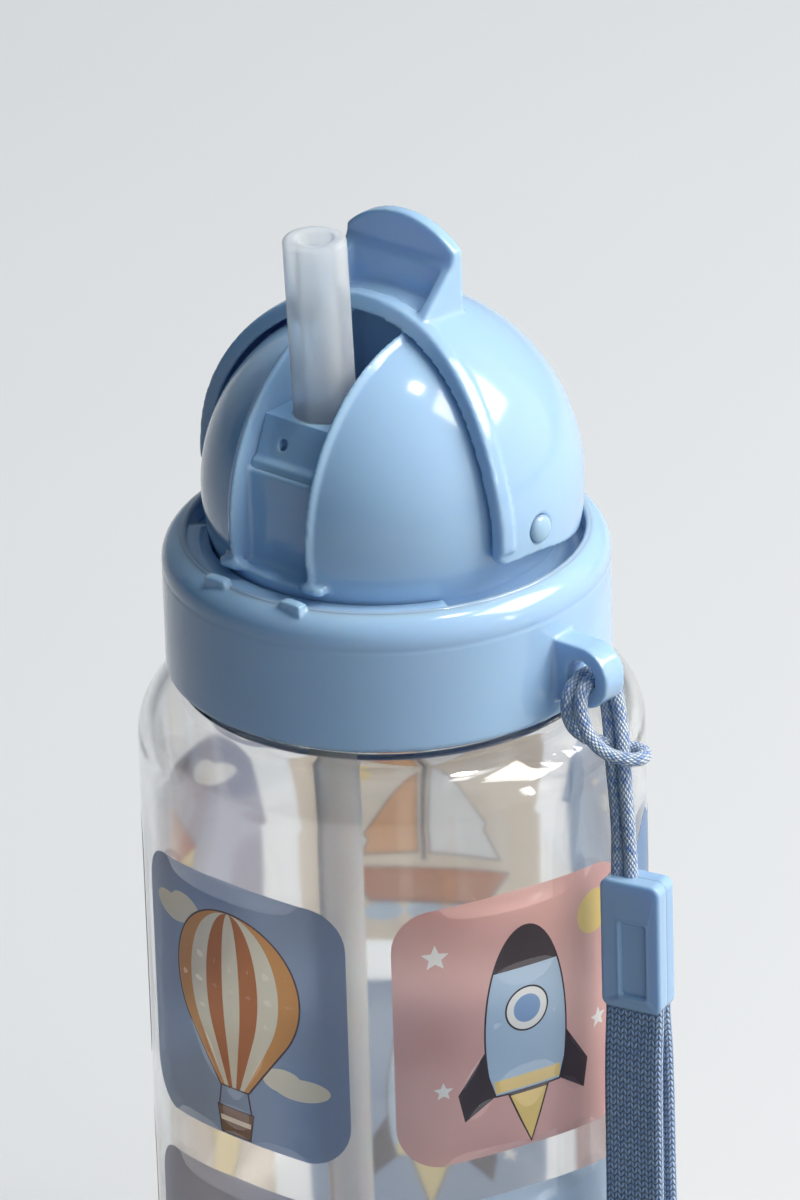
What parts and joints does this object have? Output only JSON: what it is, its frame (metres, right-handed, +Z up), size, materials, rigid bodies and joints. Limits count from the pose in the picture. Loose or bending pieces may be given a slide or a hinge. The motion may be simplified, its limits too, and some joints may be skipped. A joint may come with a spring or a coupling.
{
  "type": "water bottle",
  "caption": "Kids' clear water bottle with a screw-on blue lid, a turning shutter with a thumb hood over a soft drinking spout, an inner straw, and a cord and webbing strap with a clip.",
  "frame": {"origin": "centre of the flat foot of the bottle, on the surface it stands on", "axes": "+Z up along the bottle's axis; -Y the front, where the spout's channel opens; +X the side with the strap lug"},
  "size_m": [0.0863, 0.073, 0.1956],
  "materials": {
    "clear_shell": "clear, polished",
    "lid_blue": "glossy, slightly translucent",
    "clip_blue": "glossy",
    "seal": "smooth silicone",
    "spout_silicone": "milky, translucent silicone",
    "straw_plastic": "milky, translucent",
    "cord_fabric": "braided, two-tone",
    "webbing_fabric": "woven"
  },
  "bodies": {
    "bottle": {"bottle_body": "clear_shell"},
    "seal": {"lid_gasket": "seal"},
    "lid": {"screw_collar": "lid_blue", "dome": "lid_blue", "vent_valve": "seal", "spout_seat": "lid_blue", "spout_base": "spout_silicone", "straw_connector": "straw_plastic", "lower_straw": "straw_plastic"},
    "shutter": {"shutter": "lid_blue"},
    "spout_tip": {"spout_tip": "spout_silicone"},
    "strap": {"strap_cord": "cord_fabric", "cord_knot": "cord_fabric", "clip_front": "clip_blue", "clip_back": "clip_blue", "webbing_loop": "webbing_fabric"}
  },
  "joints": [
    {"name": "lid_lift", "type": "slide", "parent": "bottle", "child": "seal", "axis": [0, 0, 1], "range_m": [0, 0.006]},
    {"name": "lid_turn", "type": "hinge", "parent": "seal", "child": "lid", "pos_m": [0, 0, 0.1412], "axis": [0, 0, 1], "range_deg": [0, 360]},
    {"name": "shutter_turn", "type": "hinge", "parent": "lid", "child": "shutter", "pos_m": [0, 0, 0.1538], "axis": [1, 0, 0], "range_deg": [0, 93], "deforming": ["spout_tip"]},
    {"name": "spout_fold", "type": "hinge", "parent": "lid", "child": "spout_tip", "pos_m": [0, -0.0122, 0.1718], "axis": [1, 0, 0], "range_deg": [0, 155], "deforming": ["spout_tip"]},
    {"name": "strap_swing", "type": "hinge", "parent": "lid", "child": "strap", "pos_m": [0.0367, 0, 0.1338], "axis": [0, -1, 0], "range_deg": [0, 75]}
  ],
  "couplings": [
    {"joint": "lid_lift", "follows": "lid_turn", "m_per_rad": 0.00095493},
    {"joint": "spout_fold", "follows": "shutter_turn", "ratio": 1.66}
  ]
}
